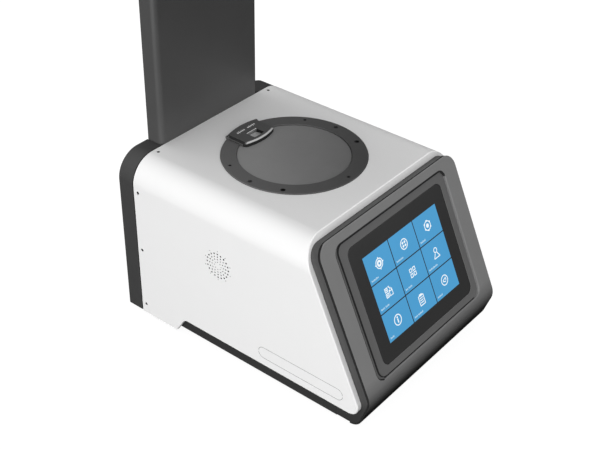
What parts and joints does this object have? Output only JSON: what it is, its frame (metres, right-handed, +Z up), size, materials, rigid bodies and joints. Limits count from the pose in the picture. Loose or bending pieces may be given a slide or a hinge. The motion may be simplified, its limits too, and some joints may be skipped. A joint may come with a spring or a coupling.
{
  "type": "light transmittance meter",
  "caption": "Bench light transmittance meter: a lidded round measuring port on top of a cabinet with a tilted touch screen, and a lamp head on a flat column above the port.",
  "frame": {"origin": "centre of the footprint, on the bench under the feet", "axes": "+Z up along the column, -Y towards the screen and the user, +X to the user's right"},
  "size_m": [0.215, 0.292, 0.54],
  "materials": {
    "shell_white": "satin white paint",
    "housing_dark": "fine matt dark grey",
    "bezel_grey": "satin mid-dark grey",
    "head_grey": "fine matt dark grey",
    "tray_metal": "matt black powder coat",
    "column_dark": "matt dark grey powder coat",
    "screen_glass": "glossy, black printed border",
    "clear_glass": "polished",
    "display": "lit flat display",
    "board_green": "solder mask",
    "board_white": "white solder mask",
    "ring_dark": "dark anodised",
    "lid_grey": "satin grey",
    "seal_rubber": "soft foam",
    "foot_rubber": "matt",
    "lead_rubber": "matt",
    "screw_steel": "plated",
    "screw_black": "black oxide",
    "inner_aluminium": "mill finish",
    "inner_steel": "zinc plated",
    "inner_black": "black anodised",
    "sphere_white": "white diffuse coat inside",
    "socket_black": "moulded",
    "socket_metal": "plated"
  },
  "bodies": {
    "instrument": {"base_tray": "tray_metal", "outer_shell": "shell_white", "speaker_grille": "shell_white", "speaker": "inner_black", "shell_screws": "screw_steel", "rear_housing": "housing_dark", "rear_screws": "screw_steel", "neck_frame": "housing_dark", "front_bezel": "bezel_grey", "touch_glass": "screen_glass", "display_panel": "display", "display_board": "board_green", "port_flange": "ring_dark", "flange_screws": "screw_black", "hinge_pin": "screw_steel", "lid_seal": "seal_rubber", "port_well": "ring_dark", "port_window": "clear_glass", "deck_plate": "inner_aluminium", "deck_posts": "inner_aluminium", "sphere_upper": "sphere_white", "sphere_lower": "sphere_white", "sphere_screws": "screw_steel", "sphere_legs": "inner_aluminium", "sphere_baffle": "sphere_white", "light_trap": "inner_black", "detector_tube": "inner_black", "spectrometer": "inner_aluminium", "main_board": "board_green", "board_standoffs": "screw_steel", "power_module": "inner_black", "dc_inlet": "socket_black", "usb_socket": "socket_metal", "rocker_frame": "socket_black", "rubber_feet": "foot_rubber", "foot_screws": "screw_steel", "column_tube": "column_dark", "mast": "inner_steel", "mast_foot": "inner_steel", "lamp_lead": "lead_rubber", "head_base": "housing_dark", "head_cover": "head_grey", "head_screws": "screw_steel", "head_arm": "inner_aluminium", "lens_tube": "inner_black", "condenser_lens": "clear_glass", "lamp_board": "board_white", "heat_sink": "inner_aluminium", "exit_ring": "ring_dark", "exit_window": "clear_glass"},
    "lid": {"port_lid": "lid_grey"},
    "power_rocker": {"rocker_switch": "socket_black"}
  },
  "joints": [
    {"name": "lid_hinge", "type": "hinge", "parent": "instrument", "child": "lid", "pos_m": [0, 0.0867, 0.1784], "axis": [-1, 0, 0], "range_deg": [0, 95]},
    {"name": "power_switch", "type": "hinge", "parent": "instrument", "child": "power_rocker", "pos_m": [0.075, 0.1398, 0.032], "axis": [-1, 0, 0], "range_deg": [0, 14]}
  ]
}
